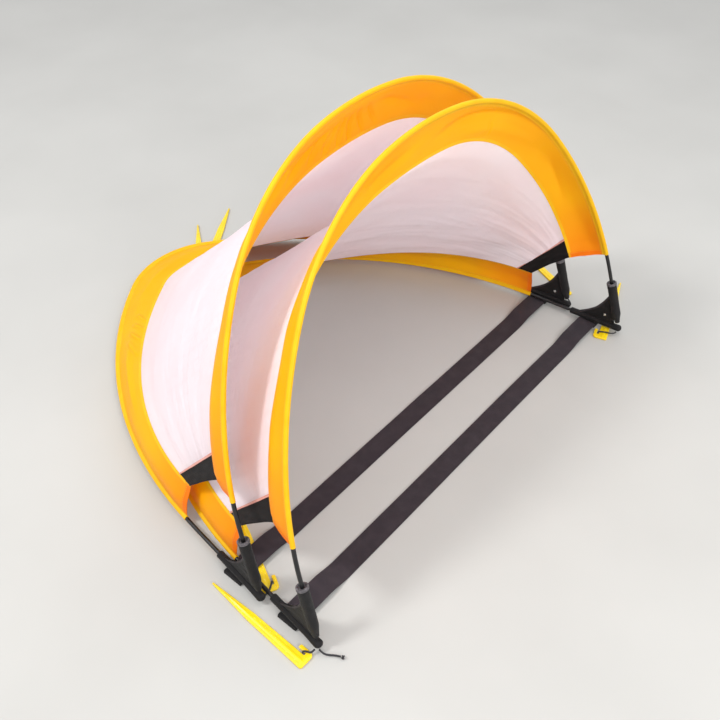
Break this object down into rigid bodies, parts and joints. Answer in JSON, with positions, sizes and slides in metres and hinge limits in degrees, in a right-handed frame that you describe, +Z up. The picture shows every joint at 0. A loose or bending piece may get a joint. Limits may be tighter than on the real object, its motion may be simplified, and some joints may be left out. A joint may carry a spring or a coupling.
{
  "type": "soccer goal frame",
  "caption": "Nested pair of pop-up football goals: leaning front arch and ground arch rods, orange fabric bands, white net, corner boots, ground straps and pegs.",
  "frame": {"origin": "middle of the underside of the front goal's ground strap, on the ground", "axes": "+X along the goal line from the left foot to the right foot seen from the mouth, +Y into the goal, +Z up"},
  "size_m": [1.455, 1.2875, 0.7803],
  "materials": {
    "rod": "satin pultruded glass fibre",
    "hem_binding": "woven",
    "band_fabric": "woven",
    "net_fabric": "woven",
    "panel_fabric": "woven",
    "boot_webbing": "woven",
    "strap_webbing": "woven",
    "rim": "satin",
    "rivet": "brushed",
    "peg": "moulded",
    "cord": "braided"
  },
  "bodies": {
    "goal_1_base": {"boot_left_1": "boot_webbing", "boot_right_1": "boot_webbing", "boot_rivets_1": "rivet", "corner_panel_left_1": "panel_fabric", "corner_panel_right_1": "panel_fabric", "ground_strap_1": "strap_webbing", "net_1": "net_fabric", "peg_loop_left_1": "cord", "peg_loop_right_1": "cord", "rear_arch_rod_1": "rod", "rear_band_1": "band_fabric", "rear_hem_channel_1": "hem_binding", "strap_tabs_1": "boot_webbing", "cord_tail": "cord", "tail_knot": "cord"},
    "goal_1_front": {"front_arch_rod_1": "rod", "front_band_1": "band_fabric", "front_hem_channel_1": "hem_binding", "front_sleeve_left_1": "boot_webbing", "front_sleeve_right_1": "boot_webbing", "sleeve_rims_1": "rim"},
    "goal_2_base": {"boot_left_2": "boot_webbing", "boot_right_2": "boot_webbing", "boot_rivets_2": "rivet", "corner_panel_left_2": "panel_fabric", "corner_panel_right_2": "panel_fabric", "ground_strap_2": "strap_webbing", "net_2": "net_fabric", "peg_loop_left_2": "cord", "peg_loop_right_2": "cord", "rear_arch_rod_2": "rod", "rear_band_2": "band_fabric", "rear_hem_channel_2": "hem_binding", "strap_tabs_2": "boot_webbing"},
    "goal_2_front": {"front_arch_rod_2": "rod", "front_band_2": "band_fabric", "front_hem_channel_2": "hem_binding", "front_sleeve_left_2": "boot_webbing", "front_sleeve_right_2": "boot_webbing", "sleeve_rims_2": "rim"},
    "peg_left_1_body": {"peg_left_1": "peg"},
    "peg_right_1_body": {"peg_right_1": "peg"},
    "peg_rear_1_body": {"peg_rear_1": "peg"},
    "peg_left_2_body": {"peg_left_2": "peg"},
    "peg_right_2_body": {"peg_right_2": "peg"},
    "peg_rear_2_body": {"peg_rear_2": "peg"}
  },
  "joints": [
    {"name": "fold_front_arch_1", "type": "hinge", "parent": "goal_1_base", "child": "goal_1_front", "pos_m": [0, -0.082, 0.0175], "axis": [-1, 0, 0], "range_deg": [0, 33], "deforming": ["net_1", "corner_panel_left_1", "corner_panel_right_1", "boot_left_1", "boot_right_1", "boot_rivets_1"]},
    {"name": "unnest_goal_2", "type": "slide", "parent": "goal_1_base", "child": "goal_2_base", "axis": [0, 1, 0], "range_m": [0, 0.3]},
    {"name": "fold_front_arch_2", "type": "hinge", "parent": "goal_2_base", "child": "goal_2_front", "pos_m": [0, 0.072, 0.0175], "axis": [-1, 0, 0], "range_deg": [0, 33], "deforming": ["net_2", "corner_panel_left_2", "corner_panel_right_2", "boot_left_2", "boot_right_2", "boot_rivets_2"]},
    {"name": "peg_left_1_slide", "type": "slide", "parent": "goal_1_base", "child": "peg_left_1_body", "axis": [-0.0262, -0.9997, 0], "range_m": [0, 0.03]},
    {"name": "peg_right_1_slide", "type": "slide", "parent": "goal_1_base", "child": "peg_right_1_body", "axis": [-0.9563, -0.2924, 0], "range_m": [0, 0.03]},
    {"name": "peg_rear_1_slide", "type": "slide", "parent": "goal_1_base", "child": "peg_rear_1_body", "axis": [0.6494, 0.7604, 0], "range_m": [0, 0.1]},
    {"name": "peg_left_2_slide", "type": "slide", "parent": "goal_2_base", "child": "peg_left_2_body", "axis": [-0.454, -0.891, 0], "range_m": [0, 0.03]},
    {"name": "peg_right_2_slide", "type": "slide", "parent": "goal_2_base", "child": "peg_right_2_body", "axis": [-0.3907, -0.9205, 0], "range_m": [0, 0.03]},
    {"name": "peg_rear_2_slide", "type": "slide", "parent": "goal_1_base", "child": "peg_rear_2_body", "axis": [0.829, 0.5592, 0], "range_m": [0, 0.1]}
  ],
  "couplings": [
    {"joint": "fold_front_arch_2", "follows": "fold_front_arch_1", "ratio": 1}
  ]
}
